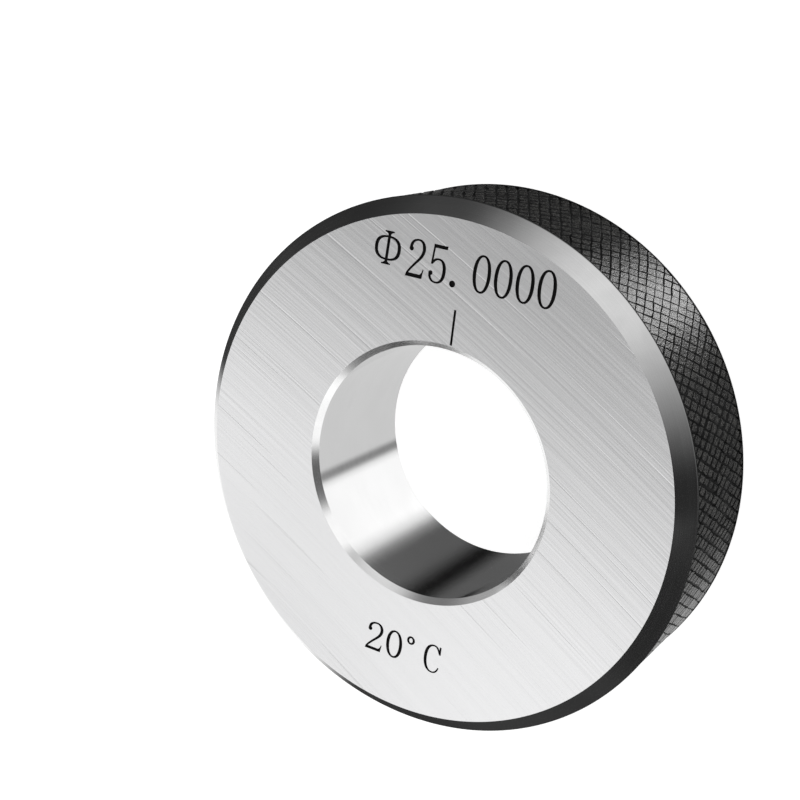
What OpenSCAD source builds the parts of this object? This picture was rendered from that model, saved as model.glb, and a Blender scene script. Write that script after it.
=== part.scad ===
// Plain ring gauge: one hardened steel ring with a lapped bore, a crossed knurl
// round the outside for grip, and its bore size cut into the ground front face.
// Millimetres. The ring lies on its rear face, bore along +Z, size mark towards +Y.

/* [Ring] */
// Diameter of the gauge bore, which the size mark states
bore_d = 25; // [20:0.5:30]
// Outside diameter, over the plain lands beside the knurl
ring_d = 53; // [50:0.5:60]
// Height from the rear face to the marked face
ring_h = 16; // [12:0.5:24]

/* [Edges] */
// Leg of the 45 degree chamfer round both outer edges
outer_chamfer = 1.6; // [0.8:0.1:2.4]
// Leg of the 45 degree chamfer at both mouths of the bore
bore_chamfer = 0.55; // [0.2:0.05:1]

/* [Knurl] */
// Distance round the ring from one diamond to the next
knurl_pitch = 1.156; // [1.1:0.01:1.8]
// Angle between the grooves and the ring's axis
knurl_angle = 27; // [20:1:45]
// Depth of the grooves below the tips of the diamonds
knurl_depth = 0.35; // [0.2:0.05:0.5]
// Width of the plain land between the knurl and each chamfer
knurl_land = 0.15; // [0.1:0.05:1]
// Drop from the plain lands to the tips of the diamonds
knurl_drop = 0.03; // [0.01:0.01:0.1]

/* [Marks] */
// Depth of the marks below the face
mark_depth = 0.15; // [0.05:0.05:0.4]
// Height of the figures of the size mark
size_h = 3.56; // [2.5:0.02:4.5]
// Decimal places of the size mark
size_places = 4; // [1:1:4]
// Height of the foot of the size mark above the middle of the ring
size_y = 18.56; // [17:0.02:19]
// Height of the figures of the temperature mark
temp_h = 3; // [2:0.1:4]
// Reference temperature in degrees Celsius, as the lower mark states it
temp_value = 20; // [10:1:30]
// Distance of the foot of the temperature mark below the middle of the ring
temp_y = 19.9; // [18.5:0.1:21]
// Width of the diameter sign
sign_w = 2.84; // [2:0.02:3]
// Clear face between the diameter sign and the first figure
sign_gap = 0.9; // [0.3:0.05:1.2]
// Distance that the middle of the size mark stands to the right of the ring's middle
size_x = 1.18; // [-1.5:0.01:1.5]
// Distance from one figure to the next
figure_pitch = 2.18; // [1.9:0.01:2.3]
// Further distance from a decimal point to the figure after it
point_gap = 0.25; // [0:0.05:0.5]
// Width of a figure
figure_w = 1.84; // [1.5:0.02:1.9]
// Width of upright strokes
stroke_thick = 0.36; // [0.2:0.02:0.42]
// Width of level strokes
stroke_thin = 0.2; // [0.1:0.02:0.24]
// Length of the index line between the size mark and the bore
index_l = 3.4; // [2:0.1:3.6]
// Width of the index line
index_w = 0.24; // [0.1:0.02:0.4]
// Clear face between the bore's chamfer and the index line
index_gap = 0.08; // [0.05:0.01:0.4]
// Distance that the index line stands to the right of the ring's middle
index_x = 0.97; // [-1:0.01:1]

/* [Hidden] */
$fn = 180;

steel = [0.72, 0.73, 0.74];

bore_r = bore_d / 2;
ring_r = ring_d / 2;

// The knurl: a lattice whose points are tips and groove crossings by turns
tip_r = ring_r - knurl_drop;
root_r = tip_r - knurl_depth;
band_z0 = outer_chamfer + knurl_land;
band_z1 = ring_h - band_z0;
// How far the knurl's ends and the core reach into the steel behind them
bury = 0.05;
knurl_z0 = band_z0 - bury;
knurl_h = band_z1 + bury - knurl_z0;
knurl_starts = round(PI * ring_d / knurl_pitch);
columns = 2 * knurl_starts;
row_ideal = knurl_pitch / 2 / tan(knurl_angle);
rows = round(knurl_h / row_ideal);

// Straight pieces in one curved length of a figure, and in a whole oval
curve_steps = 7;
oval_steps = 40;
// Excess of a cutting solid past the face that it opens
past = 1;

// Lattice points with an even sum of row and column are groove crossings
function is_tip(row, column) = (row + column) % 2 == 1;
function knurl_point(row, column) =
    let (r = is_tip(row, column) ? tip_r : root_r, a = 360 * column / columns)
    [r * cos(a), r * sin(a), knurl_z0 + knurl_h * row / rows];
function at(row, column) = row * columns + column % columns;
// Each cell is split along the groove that crosses it, from one crossing to the other
function knurl_cell(row, column) = is_tip(row, column)
    ? [[at(row, column), at(row + 1, column), at(row, column + 1)],
       [at(row, column + 1), at(row + 1, column), at(row + 1, column + 1)]]
    : [[at(row, column), at(row + 1, column + 1), at(row, column + 1)],
       [at(row, column), at(row + 1, column), at(row + 1, column + 1)]];

module knurl() {
    points = [for (row = [0:rows]) for (column = [0:columns - 1]) knurl_point(row, column)];
    // The ends are fans round a point on the axis
    foot = len(points);
    head = foot + 1;
    centres = [[0, 0, knurl_z0], [0, 0, knurl_z0 + knurl_h]];
    sides = [for (row = [0:rows - 1]) for (column = [0:columns - 1])
        each knurl_cell(row, column)];
    ends = [for (column = [0:columns - 1]) each [
        [foot, at(0, column), at(0, column + 1)],
        [head, at(rows, column + 1), at(rows, column)]]];
    polyhedron(concat(points, centres), concat(sides, ends));
}

// The turned blank, still without its bore: chamfers, lands and the core under the knurl
module blank() {
    core_r = root_r - bury;
    rotate_extrude() polygon([
        [0, 0],
        [ring_r - outer_chamfer, 0],
        [ring_r, outer_chamfer],
        [ring_r, band_z0],
        [core_r, band_z0],
        [core_r, band_z1],
        [ring_r, band_z1],
        [ring_r, ring_h - outer_chamfer],
        [ring_r - outer_chamfer, ring_h],
        [0, ring_h]
    ]);
}

// One chamfer at a mouth of the bore, opening along +Z from its level
module mouth(z) {
    translate([0, 0, z])
        cylinder(h = bore_chamfer + past, r1 = bore_r, r2 = bore_r + bore_chamfer + past);
}

module bore() {
    translate([0, 0, -past]) cylinder(h = ring_h + 2 * past, r = bore_r);
    mouth(ring_h - bore_chamfer);
    translate([0, 0, ring_h]) mirror([0, 0, 1]) mouth(ring_h - bore_chamfer);
}

// Points along a chain of curves, each with two ends and two handles
function curve_point(c, i, t) =
    pow(1 - t, 3) * c[i] + 3 * pow(1 - t, 2) * t * c[i + 1]
    + 3 * (1 - t) * pow(t, 2) * c[i + 2] + pow(t, 3) * c[i + 3];
function curve(c) = [
    for (i = [0:3:len(c) - 4]) for (k = [(i == 0 ? 0 : 1):curve_steps])
        curve_point(c, i, k / curve_steps)
];
function fit(c, w, h) = [for (p = c) [p.x * w, p.y * h]];
function heading(p, i) =
    let (d = p[min(i + 1, len(p) - 1)] - p[max(i - 1, 0)]) d / norm(d);
// A stroke is thick where it runs upright, thin where it runs level, and narrows at its ends
function swell(u, ends) = 1 - (1 - ends[0]) * pow(1 - u, 4) - (1 - ends[1]) * pow(u, 4);
function half_stroke(d) = (stroke_thin + (stroke_thick - stroke_thin) * pow(d.y, 2)) / 2;
function edge(p, ends, side) = [
    for (i = [0:len(p) - 1])
        let (d = heading(p, i), half = half_stroke(d) * swell(i / (len(p) - 1), ends))
        p[i] + side * half * [-d.y, d.x]
];
function turned(p) = [for (i = [len(p) - 1:-1:0]) p[i]];

module stroke(c, w, h, ends = [1, 1]) {
    p = curve(fit(c, w, h));
    polygon(concat(edge(p, ends, 1), turned(edge(p, ends, -1))));
}

module bar(x0, y0, x1, y1) {
    translate([x0, y0]) square([x1 - x0, y1 - y0]);
}

module ball(x, y, d) {
    translate([x, y]) circle(d = d, $fn = 32);
}

// An oval, squarer than an ellipse where its power is over 2
function power(value, exponent) = sign(value) * pow(abs(value), exponent);
function oval(rx, ry, square) = [
    for (i = [0:oval_steps - 1]) let (a = 360 * i / oval_steps)
        [rx * power(cos(a), 2 / square), ry * power(sin(a), 2 / square)]
];

// A closed oval stroke whose outside fills a box
module loop(x0, y0, x1, y1, thick = stroke_thick, thin = stroke_thin, square = 2.15) {
    rx = (x1 - x0) / 2;
    ry = (y1 - y0) / 2;
    translate([x0 + rx, y0 + ry]) difference() {
        polygon(oval(rx, ry, square));
        polygon(oval(rx - thick, ry - thin, square));
    }
}

// One figure with its foot at y = 0 and its middle at x = 0.
// Handles and ends of strokes are shares of the figure's width and height.
module figure(name, h) {
    w = figure_w;
    ball_d = 1.25 * stroke_thick;
    translate([-w / 2, 0]) {
        if (name == "0") loop(0, 0, w, h);
        if (name == "1") {
            bar(w / 2 - stroke_thick / 2, 0, w / 2 + stroke_thick / 2, h);
            bar(0.2 * w, 0, 0.8 * w, stroke_thin);
            stroke([[0.2, 0.8], [0.3, 0.85], [0.42, 0.9], [0.5, 0.98]], w, h);
        }
        if (name == "2") {
            ball(0.115 * w, 0.765 * h, ball_d);
            stroke([[0.085, 0.77], [0.085, 0.95], [0.28, 1.017], [0.51, 1.017],
                [0.7, 1.017], [0.85, 0.93], [0.85, 0.79],
                [0.85, 0.68], [0.73, 0.58], [0.6, 0.5],
                [0.42, 0.39], [0.12, 0.23], [-0.02, 0.09]], w, h, [0.85, 0.6]);
            polygon(fit([[-0.105, 0.015], [0.865, 0.015], [0.935, 0.275], [0.885, 0.275],
                [0.82, 0.175], [0.73, 0.119], [-0.06, 0.119]], w, h));
        }
        if (name == "3") {
            ball(0.17 * w, 0.78 * h, ball_d);
            ball(0.15 * w, 0.21 * h, ball_d);
            stroke([[0.11, 0.79], [0.13, 0.92], [0.27, 0.98], [0.47, 0.98],
                [0.7, 0.98], [0.83, 0.88], [0.83, 0.76],
                [0.83, 0.62], [0.66, 0.54], [0.34, 0.53]], w, h, [0.6, 0.9]);
            stroke([[0.34, 0.53], [0.7, 0.53], [0.92, 0.44], [0.92, 0.27],
                [0.92, 0.12], [0.72, 0.02], [0.46, 0.02],
                [0.25, 0.02], [0.1, 0.09], [0.09, 0.2]], w, h, [0.9, 0.6]);
        }
        if (name == "4") {
            bar(0.62 * w, 0, 0.62 * w + stroke_thick, h);
            bar(0.42 * w, 0, 0.98 * w, stroke_thin);
            bar(0.02 * w, 0.28 * h, w, 0.28 * h + stroke_thin);
            stroke([[0.04, 0.3], [0.2, 0.5], [0.48, 0.8], [0.66, 0.98]], w, h, [0.6, 0.6]);
        }
        if (name == "5") {
            polygon(fit([[0.195, 0.915], [0.97, 0.915], [1, 1.01], [0.195, 1.01]], w, h));
            polygon(fit([[0.115, 0.48], [0.225, 0.48], [0.305, 0.95], [0.195, 0.95]], w, h));
            ball(0.155 * w, 0.242 * h, ball_d);
            stroke([[0.18, 0.5], [0.27, 0.58], [0.38, 0.633], [0.54, 0.633],
                [0.79, 0.633], [0.915, 0.52], [0.915, 0.34],
                [0.915, 0.13], [0.75, 0.015], [0.48, 0.015],
                [0.26, 0.015], [0.105, 0.09], [0.1, 0.23]], w, h, [0.8, 0.7]);
        }
        if (name == "6") {
            loop(0, 0, w, 0.6 * h);
            stroke([[0.85, 0.98], [0.4, 0.94], [0.09, 0.68], [0.09, 0.32]], w, h, [0.6, 1]);
        }
        if (name == "7") {
            bar(0.04 * w, 0.895 * h, 0.98 * w, 0.995 * h);
            bar(0.04 * w, 0.78 * h, 0.04 * w + stroke_thin, 0.95 * h);
            stroke([[0.92, 0.94], [0.6, 0.6], [0.42, 0.3], [0.42, 0]], w, h, [0.6, 1]);
        }
        if (name == "8") {
            loop(0.06 * w, 0.5 * h - stroke_thin / 2, 0.94 * w, h);
            loop(0, 0, w, 0.5 * h + stroke_thin / 2);
        }
        if (name == "9") {
            loop(0, 0.4 * h, w, h);
            stroke([[0.15, 0.02], [0.6, 0.06], [0.91, 0.32], [0.91, 0.68]], w, h, [0.6, 1]);
        }
        if (name == ".") ball(0.26 * w, 0.08 * h, 0.18 * h);
        if (name == "degree")
            loop(0.06 * w, 0.7 * h, 0.06 * w + 0.3 * h, h, 1.3 * stroke_thin, stroke_thin, 2);
        if (name == "C") {
            stroke([[0.9, 0.74], [0.84, 0.9], [0.72, 0.98], [0.56, 0.98],
                [0.26, 0.98], [0.09, 0.8], [0.09, 0.5],
                [0.09, 0.2], [0.26, 0.02], [0.56, 0.02],
                [0.72, 0.02], [0.86, 0.08], [0.93, 0.24]], w, h, [0.5, 0.4]);
            bar(0.88 * w, 0.7 * h, 0.88 * w + stroke_thin, 0.99 * h);
        }
    }
}

// A serif with its flat side down, and the small brackets that lead from it into the upright
module serif(half_w, half_upright) {
    polygon([
        [-half_w, 0],
        [half_w, 0],
        [half_w, 0.7 * stroke_thin],
        [2 * half_upright, 0.85 * stroke_thin],
        [half_upright, 1.6 * stroke_thin],
        [-half_upright, 1.6 * stroke_thin],
        [-2 * half_upright, 0.85 * stroke_thin],
        [-half_w, 0.7 * stroke_thin]
    ]);
}

// The diameter sign: a wide oval with an upright that leans a little and has a serif at each end
module diameter_sign(h) {
    foot = 0.185 * h;
    head = 1.085 * h;
    lean = 0.02 * h;
    half = 0.43 * stroke_thick;
    serif_w = 0.14 * h;
    loop(-sign_w / 2, 0.295 * h, sign_w / 2, 0.957 * h, square = 2.5);
    polygon([[-half - lean, foot], [half - lean, foot], [half + lean, head], [lean - half, head]]);
    translate([-lean, foot]) serif(serif_w, half);
    translate([lean, head]) mirror([0, 1]) serif(serif_w, half);
}

// Distance from the middle of the first figure in a row to the middle of another
function after_point(names, i) = len([for (k = [0:i]) if (k < i && names[k] == ".") k]) > 0;
function step_to(names, i) = i * figure_pitch + (after_point(names, i) ? point_gap : 0);
function row_step(names) = step_to(names, len(names) - 1);

// Figures in a row, its middle over x = 0
module figures(names, h) {
    for (i = [0:len(names) - 1])
        translate([step_to(names, i) - row_step(names) / 2, 0]) figure(names[i], h);
}

// Digits of a whole number, with leading zeros up to a count
function digits(value, count) = [
    for (i = [count - 1:-1:0]) str(floor(value / pow(10, i)) % 10)
];

module size_mark() {
    whole = floor(bore_d);
    places = round((bore_d - whole) * pow(10, size_places));
    names = concat(digits(whole, 2), ["."], digits(places, size_places));
    figures_w = row_step(names) + figure_w;
    left = size_x - (sign_w + sign_gap + figures_w) / 2;
    translate([left + sign_w / 2, size_y]) diameter_sign(size_h);
    translate([left + sign_w + sign_gap + figures_w / 2, size_y]) figures(names, size_h);
}

module temperature_mark() {
    translate([0, -temp_y]) figures(concat(digits(temp_value, 2), ["degree", "C"]), temp_h);
}

module index_line() {
    y = bore_r + bore_chamfer + index_gap;
    bar(index_x - index_w / 2, y, index_x + index_w / 2, y + index_l);
}

module marks() {
    translate([0, 0, ring_h - mark_depth]) linear_extrude(mark_depth + past) {
        size_mark();
        temperature_mark();
        index_line();
    }
}

module gauge_ring() {
    color(steel) difference() {
        union() {
            blank();
            knurl();
        }
        bore();
        marks();
    }
}

gauge_ring();
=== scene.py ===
import math
import random

import bmesh
import bpy
import numpy as np
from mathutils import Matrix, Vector, geometry, noise


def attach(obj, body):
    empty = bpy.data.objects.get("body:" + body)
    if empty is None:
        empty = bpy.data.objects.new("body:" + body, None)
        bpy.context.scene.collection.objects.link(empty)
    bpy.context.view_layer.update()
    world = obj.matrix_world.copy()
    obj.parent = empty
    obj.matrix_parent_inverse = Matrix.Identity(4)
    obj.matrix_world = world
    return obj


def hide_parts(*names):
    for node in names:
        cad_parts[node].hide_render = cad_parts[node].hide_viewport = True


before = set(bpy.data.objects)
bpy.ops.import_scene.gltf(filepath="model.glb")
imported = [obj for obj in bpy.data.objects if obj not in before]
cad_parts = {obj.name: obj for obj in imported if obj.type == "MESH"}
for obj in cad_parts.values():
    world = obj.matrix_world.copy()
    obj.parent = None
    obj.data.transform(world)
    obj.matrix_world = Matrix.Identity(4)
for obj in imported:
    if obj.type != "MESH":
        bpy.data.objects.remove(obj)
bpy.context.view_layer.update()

# Sizes of the ring in millimetres, the same as in the part's source. The mesh is built in millimetres and
# scaled once to metres.
MM = 0.001
RING_R = 26.5
RING_H = 16.0
BORE_R = 12.5
OUTER_CHAMFER = 1.6
BORE_CHAMFER = 0.55
MARK_DEPTH = 0.15
KNURL_LAND = 0.15
KNURL_STARTS = 144
KNURL_ROWS = 11
BAND_BURY = 0.05

# The mesh of the plain surfaces: the steps round the ring, the rounding of the chamfers' outer corners, the
# distance of a circle on the chamfer from that rounding's corner, the angle in degrees from which an edge is
# sharp, and the circles on the rear face
SEGMENTS = 288
EDGE_BREAK = 0.03
RIM_LINE = 0.12
SHARP_ANGLE = 25.0
REAR_CIRCLES = (22.0, 19.0, 16.0)

# Points on the marked face that keep its triangles compact: the radii of their circles, their distance
# along a circle, and their least distance from a mark's outline
FACE_CIRCLES = (15.5, 18.0, 20.5, 23.0)
FACE_STEP = 1.6
FACE_CLEAR = 0.35

# Tolerances in millimetres: points of the CAD ring that are one, points on a mark's floor, points that lie
# on the knurl's cut, points that the cut moves onto it, and points of the marked face that are one
CAD_WELD = 0.004
ON_FLOOR = 0.01
ON_CUT = 0.02
CUT_SNAP = 0.008
FACE_WELD = 0.00001

# The knurl: two families of grooves that cross, with flat worn tops between them. A sample across a cell is
# its place from 0 to 1 and its share of the groove's depth, and the flat top starts at the sample FLAT_TOP.
# What lies deeper than SHALLOW has the material of the grooves. The flat tops lie just inside the tips of
# the CAD knurl, and each lies deeper by up to CREST_JITTER.
BAND_LOW = OUTER_CHAMFER + KNURL_LAND
BAND_HIGH = RING_H - BAND_LOW
KNURL_PITCH = 2 * math.pi / KNURL_STARTS
CELL_H = 2 * (BAND_HIGH - BAND_LOW + 2 * BAND_BURY) / KNURL_ROWS
CREST_R = 26.46
CREST_JITTER = 0.03
GROOVE_DEPTH = 0.3
GROOVE_SAMPLES = ((0.0, 1.0), (0.085, 0.6), (0.18, 0.0), (0.82, 0.0), (0.915, 0.6))
FLAT_TOP = 2
SHALLOW = 0.025
SEED = 25

# What makes the knurl uneven. A noise is its scale per millimetre and its own place in the field. Grooves
# fade, change in depth and in width, and wander round the ring and along it.
FADE = 0.5
FADE_CONTRAST = 1.6
FADE_NOISES = ((0.3, 3.1), (0.3, 8.7))
DEPTH_CHANGE = 0.25
DEPTH_NOISE = (1.4, 5.0)
SPREAD = 0.9
SPREAD_NOISES = ((0.5, 4.2), (0.5, 9.6))
WOBBLE = 0.11
WOBBLE_FINE_SHARE = 0.7
ROUND_NOISE = (1.1, 1.0)
ROUND_FINE_NOISE = (3.2, 6.0)
ALONG_NOISE = (1.3, 2.0)

# Two sides of the knurl, at turns in degrees, are worn more. There the grooves lose up to the share WEAR of
# their width and depth, and a higher focus makes these sides narrower.
WORN_TURNS = (50.0, -25.0)
WEAR = 0.6
WEAR_FOCUS = 10

# Each face carries its region, which sets its place in the UV map
FRONT, REAR, BAND, BORE, MARK_WALL = range(5)

# The UV map, in shares of its side. The two flat regions are squares at its top, given by their left edge
# and their side. The bore is a rectangle: left, low, width, height. The walls of the marks share one small
# square. The band is two strips, one for each half turn.
UV_NAME = "OFBake"
UV_GAP = 0.004
UV_FLAT_SPAN = 2 * RING_R + 0.4
UV_FRONT = (0.0, 0.70)
UV_REAR = (0.705, 0.29)
UV_BORE = (0.72, 0.56, 0.26, 0.1)
UV_WALL = (0.72, 0.50, 0.01)
UV_STRIP = (0.02, 0.002, 0.96, 0.145)

# Material slots of the ring's mesh
GROUND, LAPPED, TURNED, EASED, KNURLED, GROOVED, FILLED = range(7)

# Colours of the materials, as they are written into the shaders
GROUND_TONE = (0.78, 0.78, 0.785)
LAPPED_TONE = (0.9, 0.9, 0.9)
TURNED_TONE = (0.32, 0.32, 0.32)
EASED_TONE = (0.88, 0.88, 0.88)
OXIDE_DARK = (0.003, 0.003, 0.003, 1)
OXIDE_WORN = (0.046, 0.045, 0.042, 1)
# The grooves' colours hold painted shade on top of the oxide: near black at the bottom, a little lighter at
# the crest
GROOVE_SHADED = (0.002, 0.002, 0.002, 1)
GROOVE_EDGE = (0.009, 0.009, 0.009, 1)
FILL_DARK = (0.002, 0.002, 0.002, 1)
FILL_PALE = (0.006, 0.006, 0.006, 1)

# The grinding lines' angle to +X in degrees, their sideways bend in millimetres at one millimetre along
# them, and the range in which most of a noise lies
GRIND_ANGLE = -29.0
GRIND_BEND = 1 / 800
NOISE_RANGE = (0.2, 0.8)

# The colour sockets of a Mix node that mixes colours, by number
MIX_FIRST, MIX_SECOND, MIX_RESULT = 6, 7, 2

# The camera, fitted to the photo's circular edges: metres, degrees and millimetres
CAMERA_AT = (0.0586295, 0.0471718, 0.1300264)
CAMERA_TURN = (-13.6524, 30.4516, 7.4513)
CAMERA_LENS = 64.243
CAMERA_SENSOR = 36.0
CAMERA_CLIP = (0.005, 20)

# The floor and the lamp: sizes and places in metres, and the lamp's power in watts. The glow is what the
# camera sees on top of the floor's own colour.
FLOOR_R = 3.0
FLOOR_SIDES = 96
FLOOR_Z = -0.00002
FLOOR_TONE = (0.75, 0.75, 0.75, 1)
FLOOR_GLOW = 0.62
LAMP_AT = (0.16, 0.24, 0.42)
LAMP_SIZE = 0.35
LAMP_WATTS = 0.35

# Levels of the world: the background, and the even light on matt surfaces
WHITE_LEVEL = 1.0
EVEN_LEVEL = 0.8

# The studio as metal sees it: a broad white cloth on one side and grey beyond it. The cloth's middle is a
# direction, its soft edge lies between two angles from there, and the levels are inside and outside. A dark
# gap runs round at two angles from the direction in which the marked face mirrors the camera. Directions
# are the turn round the axis and the rise, all in degrees.
CLOTH_MIDDLE = (255, -20)
CLOTH_EDGE = (79, 91)
CLOTH_LEVELS = (1.18, 0.40)
GAP_MIDDLE = (219, 57)
GAP_REACH = (79, 103)
GAP_SOFT = 3
GAP_LEVEL = 0.06

# Soft panels in front of these, in the order in which each covers the last: the turn of the middle, half
# width, soft edge, lowest, highest, soft edge of these, level. All but the level are in degrees.
PANELS = (
    (0, 181, 1, 74, 91, 5, 0.72),
    (64, 33, 33, 12, 32, 8, 2.05),
    (45, 18, 8, 32, 46, 4, 1.15),
    (-38, 22, 7, 20, 42, 4, 1.15),
    (8, 8, 6, 28, 45, 4, 0.1),
    (133, 16, 10, 5, 30, 8, 0.2),
    (-90, 27, 8, -22, 13, 4, 0.10),
    (215, 16, 4.5, -46, -13, 4, 1.35),
    (45, 62, 12, -44, -8, 6, 1.15),
    (225, 8, 8, 20, 47, 5, 0.55),
    (0, 181, 1, -59.5, -47, 2, 0.64),
    (43, 36, 6, -59.5, -51, 1.5, 1.08),
    (0, 4, 3, -59.5, -51, 1.5, 0.25),
    (148, 71, 17, -59.5, -51, 1.5, 0.10),
    (140, 14, 14, -59.5, -51, 1.5, 0.006),
    (0, 181, 1, -91, -59.5, 1.5, 0.03),
    (-105, 20, 7, -91, -59.5, 1.5, 0.68),
    (68, 13.5, 13, -91, -59.5, 1.5, 4.3),
)


def polar(radius, turn, z):
    """The point at a radius, a turn in radians and a height."""
    return Vector((radius * math.cos(turn), radius * math.sin(turn), z))


def turn_of(point):
    """The turn of a point round the axis, from -pi to pi."""
    return math.atan2(point.y, point.x)


def by_turn(verts):
    """The vertices in order round the axis."""
    return sorted(verts, key=lambda v: turn_of(v.co))


class Shell:
    """Collects the faces of one closed mesh, each with its material and its region."""

    def __init__(self):
        self.bm = bmesh.new()
        self.region = self.bm.faces.layers.int.new("region")

    def loop(self, radius, z):
        """A circle of vertices round the axis."""
        step = 2 * math.pi / SEGMENTS
        return [self.bm.verts.new(polar(radius, k * step, z)) for k in range(SEGMENTS)]

    def face(self, verts, material, region, smooth=True):
        """One face with its material and its region."""
        made = self.bm.faces.new(verts)
        made.material_index = material
        made.smooth = smooth
        made[self.region] = region

    def strip(self, first, second, material, region, smooth=True):
        """Quads between two circles that have as many vertices."""
        count = len(first)
        for k in range(count):
            n = (k + 1) % count
            self.face((first[k], first[n], second[n], second[k]), material, region, smooth)

    def lathe(self, start, profile, material, region, smooth=True):
        """Strips from a circle through each (radius, height) of a profile. Returns the last circle."""
        last = start
        for radius, z in profile:
            following = self.loop(radius, z)
            self.strip(last, following, material, region, smooth)
            last = following
        return last

    def zip_up(self, first, second, material, region):
        """Triangles between two closed lines of vertices, each sorted by its turn."""
        turns_a = [turn_of(v.co) for v in first]
        turns_b = [turn_of(v.co) for v in second]
        turns_a.append(turns_a[0] + 2 * math.pi)
        turns_b.append(turns_b[0] + 2 * math.pi)
        a, b = 0, 0
        while a < len(first) or b < len(second):
            vert_a, vert_b = first[a % len(first)], second[b % len(second)]
            if b == len(second) or (a < len(first) and turns_a[a + 1] <= turns_b[b + 1]):
                a += 1
                third = first[a % len(first)]
            else:
                b += 1
                third = second[b % len(second)]
            self.face((vert_a, vert_b, third), material, region, False)


def break_edge(corner, before, after, size):
    """Three points that round a corner of the profile, between the points before and after it."""
    corner, before, after = Vector(corner), Vector(before), Vector(after)
    into = corner + (before - corner).normalized() * size
    out = corner + (after - corner).normalized() * size
    middle = (into + out) / 4 + corner / 2
    return [tuple(into), tuple(middle), tuple(out)]


def between(a, b, distance):
    """The point of the profile at a distance from a towards b."""
    a, b = Vector(a), Vector(b)
    return tuple(a + (b - a).normalized() * distance)


def knurl_noise(turn, z, scale, place):
    """Smooth noise on the band, which closes round the ring."""
    return noise.noise(polar(RING_R, turn, z) * scale + Vector((place, place, place)))


def kept_by_wear(turn):
    """The share of a groove's width and depth that wear leaves at a turn, least on the worn sides."""
    nearest = max(math.cos(turn - math.radians(side)) for side in WORN_TURNS)
    return 1 - WEAR * max(0, nearest) ** WEAR_FOCUS


def kept_by_fading(turn, z, family):
    """The share of its depth that fading leaves a groove of the first or the second family."""
    fading = 0.5 + FADE_CONTRAST * knurl_noise(turn, z, *FADE_NOISES[family])
    return 1 - FADE * min(1, max(0, fading))


def knurl_vertex(u, v, depth_u, depth_v, drop):
    """The knurl's point for the lattice numbers u and v, from each groove's share of depth and a drop."""
    turn = (u - v) / 2 * KNURL_PITCH
    z = BAND_LOW - BAND_BURY + (u + v) / 2 * CELL_H
    deeper = max(depth_u * kept_by_fading(turn, z, 0), depth_v * kept_by_fading(turn, z, 1))
    depth = GROOVE_DEPTH * deeper
    depth *= kept_by_wear(turn) * (1 + DEPTH_CHANGE * knurl_noise(turn, z, *DEPTH_NOISE))
    turn += WOBBLE / RING_R * knurl_noise(turn, z, *ROUND_NOISE)
    turn += WOBBLE_FINE_SHARE * WOBBLE / RING_R * knurl_noise(turn, z, *ROUND_FINE_NOISE)
    z += WOBBLE * knurl_noise(turn, z, *ALONG_NOISE)
    return polar(CREST_R - depth - drop, turn, z)


def widened(at, cell_u, cell_v, family):
    """A sample's place across its cell, moved with the nearer groove's width."""
    turn = (cell_u - cell_v + round(at)) / 2 * KNURL_PITCH
    change = knurl_noise(turn, cell_u + cell_v, *SPREAD_NOISES[family])
    spread = kept_by_wear(turn) * (1 + SPREAD * change)
    return at * spread if at < 0.5 else 1 - (1 - at) * spread


def cut_sheet(bm, z, outward):
    """Cuts a sheet at a height, drops what lies beyond it, and returns the cut edge in order."""
    bmesh.ops.bisect_plane(
        bm,
        geom=bm.verts[:] + bm.edges[:] + bm.faces[:],
        dist=CUT_SNAP,
        plane_co=(0, 0, z),
        plane_no=(0, 0, outward),
        clear_outer=True,
    )
    rim = [v for v in bm.verts if v.is_boundary and abs(v.co.z - z) < ON_CUT]
    for vert in rim:
        vert.co.z = z
    return by_turn(rim)


def knurl_cell(shell, cell_u, cell_v, place):
    """The faces of one diamond, between half a groove on each of its sides."""
    per = len(GROOVE_SAMPLES)
    for i in range(per):
        for j in range(per):
            a, b = cell_u * per + i, cell_v * per + j
            corners = [place(a, b), place(a + 1, b), place(a + 1, b + 1), place(a, b + 1)]
            if i == FLAT_TOP and j == FLAT_TOP:
                shell.face(corners, KNURLED, BAND, False)
                continue
            deepest = CREST_R - min(v.co.xy.length for v in corners)
            kind = GROOVED if deepest > SHALLOW else KNURLED
            first, second, third, fourth = corners
            if (i < FLAT_TOP and j < FLAT_TOP) or (i > FLAT_TOP and j > FLAT_TOP):
                shell.face((first, second, third), kind, BAND)
                shell.face((first, third, fourth), kind, BAND)
            else:
                shell.face((first, second, fourth), kind, BAND)
                shell.face((second, third, fourth), kind, BAND)


def knurl_sheet(shell):
    """The knurled band between its two heights. Returns its lower and its upper edge."""
    per = len(GROOVE_SAMPLES)
    dice = random.Random(SEED)
    drops = {}
    points = {}

    def place(a, b):
        """The vertex of the lattice node a, b, which is made once for both sides of the seam."""
        wraps = (a - b) // (2 * KNURL_STARTS * per)
        key = (a - wraps * KNURL_STARTS * per, b + wraps * KNURL_STARTS * per)
        if key not in points:
            (cell_u, in_u), (cell_v, in_v) = divmod(key[0], per), divmod(key[1], per)
            cell = (cell_u, cell_v)
            if cell not in drops:
                drops[cell] = CREST_JITTER * dice.random()
            at_u, depth_u = GROOVE_SAMPLES[in_u]
            at_v, depth_v = GROOVE_SAMPLES[in_v]
            u = cell_u + widened(at_u, cell_u, cell_v, 0)
            v = cell_v + widened(at_v, cell_u, cell_v, 1)
            on_top = depth_u == 0 and depth_v == 0
            point = knurl_vertex(u, v, depth_u, depth_v, drops[cell] if on_top else 0)
            points[key] = shell.bm.verts.new(point)
        return points[key]

    # Cells stand over at both heights and are cut there
    for half in range(2 * KNURL_STARTS):
        for level in range(-2, KNURL_ROWS + 3):
            if (half + level) % 2 == 0:
                knurl_cell(shell, (level + half) // 2, (level - half) // 2, place)
    return cut_sheet(shell.bm, BAND_LOW, -1), cut_sheet(shell.bm, BAND_HIGH, 1)


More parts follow.
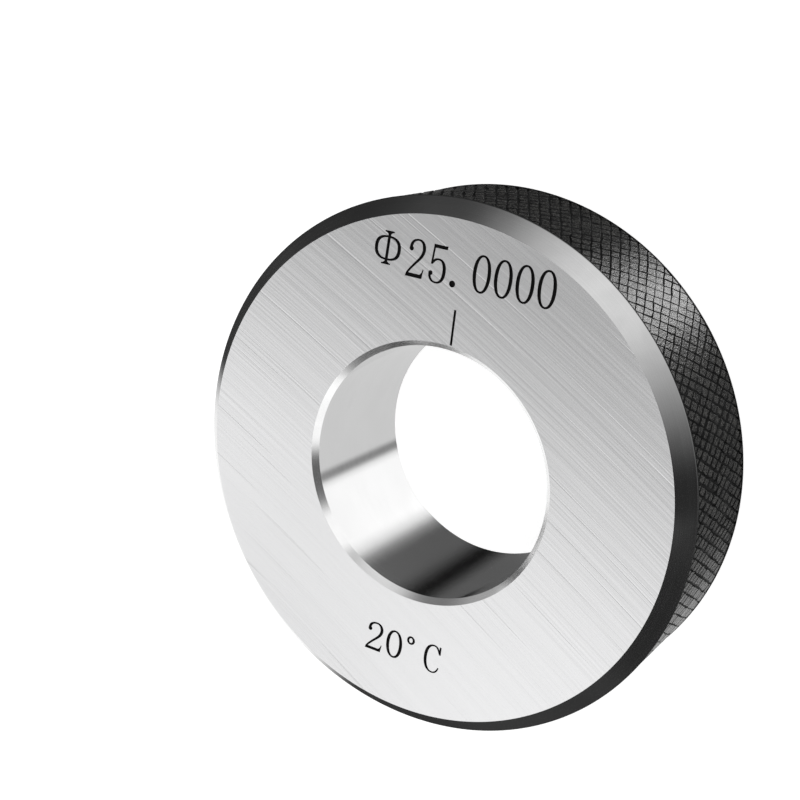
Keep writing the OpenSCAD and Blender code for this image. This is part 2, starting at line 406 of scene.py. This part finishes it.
def mark_outlines():
    """The outlines of the marks' recesses in the CAD ring: their points in the plane, and their edges."""
    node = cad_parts["gauge_ring"]
    bm = bmesh.new()
    bm.from_mesh(node.data)
    bmesh.ops.scale(bm, vec=(1 / MM, 1 / MM, 1 / MM), verts=bm.verts)
    bmesh.ops.remove_doubles(bm, verts=bm.verts, dist=CAD_WELD)
    floor_z = RING_H - MARK_DEPTH
    on_floor = {v for v in bm.verts if abs(v.co.z - floor_z) < ON_FLOOR and v.co.xy.length > BORE_R}
    floors = {f for f in bm.faces if all(v in on_floor for v in f.verts)}
    rims = [e for e in bm.edges if sum(f in floors for f in e.link_faces) == 1]
    used = sorted({v for e in rims for v in e.verts}, key=lambda v: v.index)
    number = {v: k for k, v in enumerate(used)}
    points = [v.co.xy.copy() for v in used]
    pairs = [(number[e.verts[0]], number[e.verts[1]]) for e in rims]
    bm.free()
    return points, pairs


def inside_marks(places, points, pairs):
    """Whether each place lies inside an outline: it crosses an odd number of edges on its way out."""
    start = np.array([points[a] for a, b in pairs])
    end = np.array([points[b] for a, b in pairs])
    odd = []
    for x, y in places:
        spans = (start[:, 1] > y) != (end[:, 1] > y)
        s, e = start[spans], end[spans]
        crossing = s[:, 0] + (y - s[:, 1]) / (e[:, 1] - s[:, 1]) * (e[:, 0] - s[:, 0])
        odd.append(bool(np.count_nonzero(crossing > x) % 2))
    return odd


def face_points(outline):
    """The points between the marks that keep the marked face's triangles compact."""
    spread = []
    for radius in FACE_CIRCLES:
        count = int(2 * math.pi * radius / FACE_STEP)
        spread += [polar(radius, 2 * math.pi * k / count, 0).xy for k in range(count)]
    return [p for p in spread if min((p - q).length for q in outline) > FACE_CLEAR]


def marked_face(shell, inner, outer):
    """The ground face between two circles, with the marks sunk into it."""
    bm = shell.bm
    outline, pairs = mark_outlines()
    known = inner + outer
    first_mark = len(known)
    flat = [v.co.xy.copy() for v in known] + outline + face_points(outline)
    edges = [(k, (k + 1) % SEGMENTS) for k in range(SEGMENTS)]
    edges += [(SEGMENTS + a, SEGMENTS + b) for a, b in edges]
    edges += [(first_mark + a, first_mark + b) for a, b in pairs]
    cells = geometry.delaunay_2d_cdt(flat, edges, [], 0, FACE_WELD)
    places, triangles, origins = cells[0], cells[2], cells[3]

    # A vertex of the top for each place, and one of the floor for each place on an outline
    top, floor = [], []
    for place, origin in zip(places, origins):
        first = min(origin) if origin else len(flat)
        if first < first_mark:
            top.append(known[first])
            floor.append(None)
        else:
            top.append(bm.verts.new((place.x, place.y, RING_H)))
            on_mark = first < first_mark + len(outline)
            sunk = (place.x, place.y, RING_H - MARK_DEPTH)
            floor.append(bm.verts.new(sunk) if on_mark else None)

    centres = [sum((places[k] for k in t), Vector((0, 0))) / 3 for t in triangles]
    in_mark = inside_marks(centres, outline, pairs)
    hole_r = inner[0].co.xy.length * math.cos(math.pi / SEGMENTS)
    for t, centre, sunk in zip(triangles, centres, in_mark):
        if centre.length < hole_r:
            continue
        if sunk:
            shell.face([floor[k] for k in t], FILLED, FRONT, False)
        else:
            shell.face([top[k] for k in t], GROUND, FRONT, False)

    where = {one: k for k, origin in enumerate(origins) for one in origin}
    for a, b in pairs:
        ka, kb = where[first_mark + a], where[first_mark + b]
        if ka != kb:
            shell.face((top[ka], top[kb], floor[kb], floor[ka]), FILLED, MARK_WALL, False)
    loose = [v for v in bm.verts if not v.link_faces]
    bmesh.ops.delete(bm, geom=loose, context="VERTS")


def outer_edge(top):
    """The points of an outer chamfer, then of its rounded shoulder, as (radius, height)."""
    sign = 1 if top else -1
    z = RING_H if top else 0.0
    rim = (RING_R - OUTER_CHAMFER, z)
    shoulder = (RING_R, z - sign * OUTER_CHAMFER)
    land = (RING_R, BAND_HIGH if top else BAND_LOW)
    bend = break_edge(shoulder, rim, land, EDGE_BREAK)
    return [rim, between(shoulder, rim, RIM_LINE), bend[0]], bend[1:] + [land]


def bore_edge(top):
    """The two ends of a bore chamfer, as (radius, height)."""
    if top:
        return (BORE_R + BORE_CHAMFER, RING_H), (BORE_R, RING_H - BORE_CHAMFER)
    return (BORE_R + BORE_CHAMFER, 0.0), (BORE_R, BORE_CHAMFER)


def ring_end(shell, top, knurl_edge):
    """The chamfers and the land at one end of the ring.

    Returns the outer and the inner circle of the end face, and the circle where the bore starts.
    """
    region = FRONT if top else REAR
    chamfer, shoulder = outer_edge(top)
    face_rim = shell.loop(*chamfer[0])
    last = shell.lathe(face_rim, chamfer[1:], TURNED, region)
    # The shoulder takes the grooves' near-black dull material: painted shade, a dark line along the band's
    # edge
    last = shell.lathe(last, shoulder, GROOVED, BAND)
    shell.zip_up(knurl_edge, by_turn(last), GROOVED, BAND)
    rim, mouth = bore_edge(top)
    bore_rim = shell.loop(*rim)
    return face_rim, bore_rim, shell.lathe(bore_rim, [mouth], EASED, region)


def ring_shell():
    """The whole ring as one closed mesh in millimetres."""
    shell = Shell()
    knurl_low, knurl_high = knurl_sheet(shell)
    front_rim, front_bore_rim, front_mouth = ring_end(shell, True, knurl_high)
    rear_rim, rear_bore_rim, rear_mouth = ring_end(shell, False, knurl_low)
    shell.strip(rear_mouth, front_mouth, LAPPED, BORE)
    rear_profile = [(radius, 0.0) for radius in REAR_CIRCLES]
    last = shell.lathe(rear_rim, rear_profile, GROUND, REAR, False)
    shell.strip(last, rear_bore_rim, GROUND, REAR, False)
    marked_face(shell, front_bore_rim, front_rim)
    bmesh.ops.recalc_face_normals(shell.bm, faces=shell.bm.faces)
    for edge in shell.bm.edges:
        kinds = {face.material_index for face in edge.link_faces}
        if kinds - {KNURLED, GROOVED} and edge.calc_face_angle(0) > math.radians(SHARP_ANGLE):
            edge.smooth = False
    return shell


def turn_near(co, middle):
    """The turn of a point, within half a turn of the middle of its face."""
    return middle + (turn_of(co) - middle + math.pi) % (2 * math.pi) - math.pi


def uv_flat(co, left, side, mirror):
    """The place in the UV map of a point on one of the two flat regions."""
    scale = (side - 2 * UV_GAP) / UV_FLAT_SPAN
    return left + side / 2 + mirror * co.x * scale, 1 - side + side / 2 + co.y * scale


def uv_bore(co, middle):
    """The place in the UV map of a point on the bore."""
    left, low, width, height = UV_BORE
    turn = turn_near(co, middle) / (2 * math.pi)
    return left + width * turn, low + height * co.z / RING_H


def uv_wall(k):
    """The place in the UV map of a corner of a mark's wall, by its number."""
    left, low, side = UV_WALL
    return left + side * (k in (1, 2)), low + side * (k in (2, 3))


def uv_band(co, middle):
    """The place in the UV map of a point on the knurled band."""
    left, low, width, height = UV_STRIP
    half = int(middle // math.pi)
    along = (turn_near(co, middle) - half * math.pi) / math.pi
    low += half * (height + UV_GAP)
    return left + width * along, low + height * co.z / RING_H


def lay_out(shell):
    """Gives each face its place in the UV map, by its region."""
    uv = shell.bm.loops.layers.uv.new(UV_NAME)
    for face in shell.bm.faces:
        region = face[shell.region]
        middle = turn_of(face.calc_center_median()) % (2 * math.pi)
        for k, corner in enumerate(face.loops):
            co = corner.vert.co
            if region == FRONT:
                corner[uv].uv = uv_flat(co, *UV_FRONT, 1)
            elif region == REAR:
                corner[uv].uv = uv_flat(co, *UV_REAR, -1)
            elif region == MARK_WALL:
                corner[uv].uv = uv_wall(k)
            elif region == BORE:
                corner[uv].uv = uv_bore(co, middle)
            else:
                corner[uv].uv = uv_band(co, middle)


class Graph:
    """Adds nodes to one tree and links them."""

    def __init__(self, tree):
        self.tree = tree
        tree.nodes.clear()

    def node(self, kind, inputs=None, **settings):
        """A node with its settings, and its inputs by name or number."""
        made = self.tree.nodes.new(kind)
        for name, value in settings.items():
            setattr(made, name, value)
        for key, value in (inputs or {}).items():
            self.feed(made.inputs[key], value)
        return made

    def feed(self, socket, value):
        """Links a socket to a socket, or sets its value."""
        if isinstance(value, bpy.types.NodeSocket):
            self.tree.links.new(value, socket)
        else:
            socket.default_value = value

    def math(self, operation, *values):
        """The result of a Math node."""
        made = self.node("ShaderNodeMath", operation=operation)
        for socket, value in zip(made.inputs, values):
            self.feed(socket, value)
        return made.outputs[0]

    def vector_math(self, operation, inputs, result="Vector"):
        """The result of a Vector Math node."""
        return self.node("ShaderNodeVectorMath", inputs, operation=operation).outputs[result]

    def combined(self, x, y):
        """A vector from two numbers, with nothing as its third."""
        return self.node("ShaderNodeCombineXYZ", {"X": x, "Y": y}).outputs["Vector"]

    def split(self, vector):
        """The three numbers of a vector."""
        return self.node("ShaderNodeSeparateXYZ", {"Vector": vector}).outputs

    def ramp(self, value, source, target=(0.0, 1.0)):
        """A value mapped smoothly from one range to another and held at its ends."""
        inputs = {
            "Value": value,
            "From Min": source[0],
            "From Max": source[1],
            "To Min": target[0],
            "To Max": target[1],
        }
        made = self.node("ShaderNodeMapRange", inputs, interpolation_type="SMOOTHSTEP", clamp=True)
        return made.outputs["Result"]

    def grain(self, vector, scale, detail, roughness=0.5):
        """Noise from 0 to 1 at a place times three factors."""
        place = self.vector_math("MULTIPLY", {0: vector, 1: scale})
        inputs = {"Vector": place, "Scale": 1.0, "Detail": detail, "Roughness": roughness}
        return self.node("ShaderNodeTexNoise", inputs, noise_dimensions="3D").outputs["Fac"]

    def mix(self, factor, first, second):
        """A colour between two colours."""
        inputs = {"Factor": factor, MIX_FIRST: first, MIX_SECOND: second}
        return self.node("ShaderNodeMix", inputs, data_type="RGBA").outputs[MIX_RESULT]

    def shade(self, colour, times):
        """A colour times a number."""
        return self.vector_math("SCALE", {0: colour, "Scale": times})


class Finish(Graph):
    """A material's graph with its Principled shader."""

    def __init__(self, name):
        self.material = bpy.data.materials.new(name)
        self.material.use_nodes = True
        super().__init__(self.material.node_tree)
        self.shader = self.node("ShaderNodeBsdfPrincipled")
        self.node("ShaderNodeOutputMaterial", {"Surface": self.shader.outputs["BSDF"]})

    def paint(self, colour, roughness, **constants):
        """Feeds the shader's colour and roughness, and sets its other sockets by name."""
        self.feed(self.shader.inputs["Base Color"], colour)
        self.feed(self.shader.inputs["Roughness"], roughness)
        for name, value in constants.items():
            self.shader.inputs[name].default_value = value

    def bump(self, height, micrometres):
        """Feeds the shader a bump of so many micrometres for a step of 1."""
        inputs = {"Strength": 1.0, "Distance": micrometres * MM * MM, "Height": height}
        self.feed(self.shader.inputs["Normal"], self.node("ShaderNodeBump", inputs).outputs["Normal"])

    def place(self):
        """The place on the object, in millimetres."""
        place = self.node("ShaderNodeTexCoord").outputs["Object"]
        return self.vector_math("MULTIPLY", {0: place, 1: (1 / MM, 1 / MM, 1 / MM)})

    def from_axis(self, place):
        """The distance of a place from the ring's axis."""
        parts = self.split(place)
        return self.vector_math("LENGTH", {0: self.combined(parts[0], parts[1])}, "Value")


def ground_steel():
    """Surface-ground steel: long grinding lines that bend a little, and a few deeper ones."""
    finish = Finish("ground_face")
    turned = finish.node(
        "ShaderNodeVectorRotate",
        {"Vector": finish.place(), "Angle": math.radians(-GRIND_ANGLE)},
        rotation_type="Z_AXIS",
    ).outputs["Vector"]
    parts = finish.split(turned)
    along, across = parts[0], parts[1]
    bend = finish.math("MULTIPLY", finish.math("MULTIPLY", along, along), GRIND_BEND)
    lined = finish.combined(along, finish.math("ADD", across, bend))
    fine = finish.grain(lined, (0.03, 3.0, 0), 4.0, 0.55)
    broad = finish.grain(lined, (0.015, 0.7, 0), 2.0)
    scratch = finish.ramp(finish.grain(lined, (0.025, 2.6, 0), 1.0), (0.66, 0.74))
    fine_tone = finish.ramp(fine, NOISE_RANGE, (0.993, 1.007))
    tone = finish.math("ADD", fine_tone, finish.ramp(broad, NOISE_RANGE, (-0.007, 0.007)))
    tone = finish.math("SUBTRACT", tone, finish.math("MULTIPLY", scratch, 0.03))
    roughness = finish.ramp(fine, NOISE_RANGE, (0.20, 0.25))
    finish.paint(finish.shade(GROUND_TONE, tone), roughness, Metallic=1.0)
    height = finish.math("ADD", fine, broad)
    height = finish.math("SUBTRACT", height, finish.math("MULTIPLY", scratch, 0.5))
    finish.bump(height, 9)
    return finish.material


def lapped_steel():
    """Lapped steel: close to a mirror, with faint lines round the bore."""
    finish = Finish("lapped_bore")
    place = finish.place()
    parts = finish.split(place)
    turn = finish.math("ARCTAN2", parts[1], parts[0])
    lines = finish.grain(finish.combined(turn, parts[2]), (0.6, 9.0, 0), 2.0)
    cloud = finish.grain(place, (0.3, 0.3, 0.3), 2.0)
    line_tone = finish.ramp(lines, NOISE_RANGE, (0.98, 1.01))
    tone = finish.math("ADD", line_tone, finish.ramp(cloud, (0.3, 0.7), (-0.01, 0.01)))
    roughness = finish.ramp(lines, NOISE_RANGE, (0.07, 0.11))
    finish.paint(finish.shade(LAPPED_TONE, tone), roughness, Metallic=1.0)
    finish.bump(lines, 0.4)
    return finish.material


def turned_finish(name, colour, rough_range):
    """Steel turned on a chamfer: fine lines round the ring and a faint cloud over them."""
    finish = Finish(name)
    place = finish.place()
    parts = finish.split(place)
    turn = finish.math("ARCTAN2", parts[1], parts[0])
    slant = finish.math("SUBTRACT", parts[2], finish.from_axis(place))
    lines = finish.grain(finish.combined(turn, slant), (1.5, 7.0, 0), 2.0)
    cloud = finish.grain(place, (0.35, 0.35, 0.35), 3.0)
    line_tone = finish.ramp(lines, NOISE_RANGE, (0.96, 1.04))
    tone = finish.math("ADD", line_tone, finish.ramp(cloud, (0.3, 0.7), (-0.04, 0.04)))
    roughness = finish.ramp(lines, NOISE_RANGE, rough_range)
    finish.paint(finish.shade(colour, tone), roughness, Metallic=1.0)
    finish.bump(lines, 1)
    return finish.material


def turned_steel():
    """Turned and blued steel of the outer chamfers: dark and glossy."""
    return turned_finish("turned_chamfer", TURNED_TONE, (0.10, 0.14))


def eased_steel():
    """The bright eased edges at the ends of the bore."""
    return turned_finish("bore_chamfer", EASED_TONE, (0.14, 0.20))


def knurled_steel():
    """Black-oxided steel on the knurl's flat tops, worn a little grey."""
    finish = Finish("blackened_knurl")
    place = finish.place()
    speckle = finish.grain(place, (4.6, 4.6, 4.6), 3.0, 0.6)
    cloud = finish.grain(place, (0.5, 0.5, 0.5), 2.0)
    speckled = finish.ramp(speckle, (0.35, 0.65), (-0.6, 0.6))
    worn = finish.math("ADD", finish.ramp(cloud, NOISE_RANGE), speckled)
    colour = finish.mix(finish.ramp(worn, (0.0, 1.0)), OXIDE_DARK, OXIDE_WORN)
    finish.paint(colour, finish.ramp(speckle, NOISE_RANGE, (0.14, 0.24)), IOR=1.6)
    finish.bump(speckle, 48)
    return finish.material


def grooved_steel():
    """The knurl's oxide in its grooves, dull and close to black, with painted shade that darkens it towards
    the groove bottoms.
    """
    finish = Finish("knurl_groove_shaded")
    place = finish.place()
    speckle = finish.grain(place, (5.0, 5.0, 5.0), 3.0, 0.6)
    ragged = finish.ramp(speckle, NOISE_RANGE, (-0.06, 0.06))
    # Painted shade: the colour darkens from the crest down to the groove's bottom
    reach = finish.math("ADD", finish.from_axis(place), ragged)
    edge = finish.ramp(reach, (CREST_R - 0.12, CREST_R))
    colour = finish.mix(edge, GROOVE_SHADED, GROOVE_EDGE)
    finish.paint(colour, finish.ramp(edge, (0.0, 1.0), (0.6, 0.4)), IOR=1.17)
    finish.bump(speckle, 12)
    return finish.material


def mark_fill():
    """Matt black filling of the marks."""
    finish = Finish("mark_fill")
    speckle = finish.grain(finish.place(), (9.0, 9.0, 9.0), 3.0)
    colour = finish.mix(speckle, FILL_DARK, FILL_PALE)
    finish.paint(colour, finish.ramp(speckle, NOISE_RANGE, (0.6, 0.8)), IOR=1.2)
    finish.bump(speckle, 10)
    return finish.material


def dress_ring():
    """Makes the ring's visual piece, in place of its CAD node."""
    shell = ring_shell()
    lay_out(shell)
    mesh = bpy.data.meshes.new("ring")
    bmesh.ops.scale(shell.bm, vec=(MM, MM, MM), verts=shell.bm.verts)
    shell.bm.to_mesh(mesh)
    shell.bm.free()
    mesh.materials.append(ground_steel())
    mesh.materials.append(lapped_steel())
    mesh.materials.append(turned_steel())
    mesh.materials.append(eased_steel())
    mesh.materials.append(knurled_steel())
    mesh.materials.append(grooved_steel())
    mesh.materials.append(mark_fill())
    piece = bpy.data.objects.new("ring", mesh)
    bpy.context.scene.collection.objects.link(piece)
    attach(piece, "root")
    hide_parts("gauge_ring")


def toward(turn, rise):
    """The unit vector of a direction given in degrees."""
    turn, rise = math.radians(turn), math.radians(rise)
    return Vector((math.cos(turn) * math.cos(rise), math.sin(turn) * math.cos(rise), math.sin(rise)))


def within(graph, value, low, high, soft):
    """1 for a value between two limits with soft edges, and 0 outside."""
    above = graph.ramp(value, (low - soft, low + soft))
    below = graph.ramp(value, (high - soft, high + soft), (1.0, 0.0))
    return graph.math("MULTIPLY", above, below)


def covered(graph, level, share, by):
    """A level of which another one covers a share."""
    step = graph.math("SUBTRACT", by, level)
    return graph.math("ADD", level, graph.math("MULTIPLY", share, step))


def studio_level(graph):
    """How bright the studio is in a direction, as metal sees it."""
    direction = graph.node("ShaderNodeTexCoord").outputs["Generated"]
    parts = graph.split(direction)
    turn = graph.math("ARCTAN2", parts[1], parts[0])
    rise = graph.math("ARCSINE", parts[2])

    def angle_from(middle):
        """The angle between the direction and another one."""
        aim = graph.vector_math("DOT_PRODUCT", {0: direction, 1: toward(*middle)}, "Value")
        return graph.math("ARCCOSINE", aim)

    cloth_edge = [math.radians(angle) for angle in CLOTH_EDGE]
    level = graph.ramp(angle_from(CLOTH_MIDDLE), cloth_edge, CLOTH_LEVELS)
    near, far, soft = (math.radians(angle) for angle in (*GAP_REACH, GAP_SOFT))
    level = covered(graph, level, within(graph, angle_from(GAP_MIDDLE), near, far, soft), GAP_LEVEL)
    for *angles, panel_level in PANELS:
        middle, half, soft, low, high, soft_rise = (math.radians(angle) for angle in angles)
        away = graph.math("WRAP", graph.math("SUBTRACT", turn, middle), math.pi, -math.pi)
        away = graph.math("ABSOLUTE", away)
        across = graph.ramp(away, (max(half - soft, 0), half + soft), (1.0, 0.0))
        share = graph.math("MULTIPLY", across, within(graph, rise, low, high, soft_rise))
        level = covered(graph, level, share, panel_level)
    return level


def background(graph, level):
    """White light of a level from everywhere."""
    inputs = {"Color": (1, 1, 1, 1), "Strength": level}
    return graph.node("ShaderNodeBackground", inputs).outputs["Background"]


def mixed(graph, factor, first, second):
    """One shader or another, by a factor."""
    return graph.node("ShaderNodeMixShader", {0: factor, 1: first, 2: second}).outputs["Shader"]


def studio_world():
    """White for the camera, even soft light for matt surfaces, and the studio's panels for metal."""
    world = bpy.data.worlds.new("studio")
    bpy.context.scene.world = world
    world.use_nodes = True
    world.cycles.sampling_method = "NONE"
    graph = Graph(world.node_tree)
    rays = graph.node("ShaderNodeLightPath").outputs
    even, studio = background(graph, EVEN_LEVEL), background(graph, studio_level(graph))
    lighting = mixed(graph, rays["Is Glossy Ray"], even, studio)
    seen = graph.math("MAXIMUM", rays["Is Camera Ray"], rays["Is Transmission Ray"])
    surface = mixed(graph, seen, lighting, background(graph, WHITE_LEVEL))
    graph.node("ShaderNodeOutputWorld", {"Surface": surface})


def floor_white():
    """Matt white that glows for the camera and is clear from below."""
    material = bpy.data.materials.new("floor")
    material.use_nodes = True
    graph = Graph(material.node_tree)
    matt = graph.node("ShaderNodeBsdfDiffuse", {"Color": FLOOR_TONE}).outputs["BSDF"]
    seen = graph.node("ShaderNodeLightPath").outputs["Is Camera Ray"]
    glow = graph.node("ShaderNodeEmission", {"Strength": graph.math("MULTIPLY", seen, FLOOR_GLOW)})
    both = graph.node("ShaderNodeAddShader", {0: matt, 1: glow.outputs["Emission"]}).outputs["Shader"]
    under = graph.node("ShaderNodeNewGeometry").outputs["Backfacing"]
    clear = graph.node("ShaderNodeBsdfTransparent").outputs["BSDF"]
    graph.node("ShaderNodeOutputMaterial", {"Surface": mixed(graph, under, both, clear)})
    return material


def pale_floor():
    """The white floor under the ring, which keeps the ring's soft shadow."""
    mesh = bpy.data.meshes.new("floor")
    bm = bmesh.new()
    bmesh.ops.create_circle(bm, cap_ends=True, segments=FLOOR_SIDES, radius=FLOOR_R)
    bmesh.ops.translate(bm, vec=(0, 0, FLOOR_Z), verts=bm.verts)
    bm.to_mesh(mesh)
    bm.free()
    mesh.materials.append(floor_white())
    floor = bpy.data.objects.new("floor", mesh)
    bpy.context.scene.collection.objects.link(floor)
    floor.visible_glossy = False


def key_lamp():
    """A large soft lamp above the ring, for its shadow."""
    lamp = bpy.data.lights.new("key", "AREA")
    lamp.shape = "DISK"
    lamp.size = LAMP_SIZE
    lamp.energy = LAMP_WATTS
    holder = bpy.data.objects.new("key", lamp)
    bpy.context.scene.collection.objects.link(holder)
    holder.location = LAMP_AT
    holder.rotation_euler = Vector(LAMP_AT).to_track_quat("Z", "Y").to_euler()
    holder.visible_glossy = False


def make_camera():
    """The camera at the photo's viewing angle."""
    data = bpy.data.cameras.new("camera")
    data.lens = CAMERA_LENS
    data.sensor_width = CAMERA_SENSOR
    data.clip_start, data.clip_end = CAMERA_CLIP
    camera = bpy.data.objects.new("camera", data)
    bpy.context.scene.collection.objects.link(camera)
    camera.location = CAMERA_AT
    camera.rotation_euler = [math.radians(angle) for angle in CAMERA_TURN]
    bpy.context.scene.camera = camera


make_camera()
dress_ring()
studio_world()
pale_floor()
key_lamp()
bpy.context.scene.view_settings.view_transform = "Standard"
